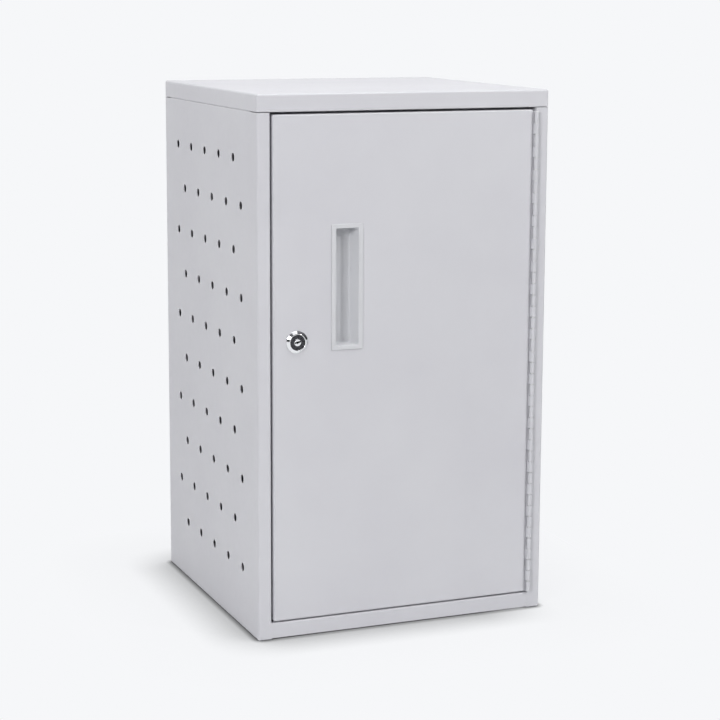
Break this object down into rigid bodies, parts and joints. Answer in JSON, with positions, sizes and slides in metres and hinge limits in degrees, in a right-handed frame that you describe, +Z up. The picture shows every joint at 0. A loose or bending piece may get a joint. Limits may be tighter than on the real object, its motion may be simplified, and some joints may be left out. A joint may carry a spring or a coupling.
{
  "type": "locker cabinet",
  "caption": "Small sheet-steel locker cabinet with a flush door on a full-height piano hinge, a recessed handle, a cam lock and round vent holes in its sides.",
  "frame": {"origin": "centre of the cabinet body on the surface that it stands on", "axes": "+X to the right across the front (hinge side), +Y from front to back, +Z up"},
  "size_m": [0.346, 0.3393, 0.6],
  "materials": {
    "powder_coat": "fine powder coat, light grey",
    "handle_plastic": "moulded, satin",
    "chrome_face": "polished",
    "zinc": "zinc plated",
    "bumper_rubber": "matt"
  },
  "bodies": {
    "cabinet": {"left_side_panel": "powder_coat", "right_side_panel": "powder_coat", "back_panel": "powder_coat", "base_pan": "powder_coat", "top_lid": "powder_coat", "top_rail": "powder_coat", "stop_strip": "powder_coat", "strip_rivets": "zinc", "back_rivets": "zinc", "door_bumpers": "bumper_rubber", "lid_studs": "zinc", "lid_nuts": "zinc", "left_coat_hook": "zinc", "right_coat_hook": "zinc", "hinge_post_leaf": "powder_coat", "hinge_pin": "zinc", "hinge_post_rivets": "zinc"},
    "door": {"door_skin": "powder_coat", "door_stiffener": "powder_coat", "hinge_door_leaf": "powder_coat", "hinge_door_rivets": "zinc", "handle_cup": "handle_plastic", "handle_bracket": "zinc", "handle_nuts": "zinc", "lock_housing": "chrome_face", "lock_nut": "zinc"},
    "lock": {"lock_plug": "chrome_face", "lock_cam": "zinc", "cam_washer": "zinc", "cam_screw": "zinc"}
  },
  "joints": [
    {"name": "door_hinge", "type": "hinge", "parent": "cabinet", "child": "door", "pos_m": [0.157, -0.1694, 0], "axis": [0, 0, 1], "range_deg": [0, 170]},
    {"name": "lock_turn", "type": "hinge", "parent": "door", "child": "lock", "pos_m": [-0.1277, -0.1665, 0.332], "axis": [0, 1, 0], "range_deg": [0, 90]}
  ]
}
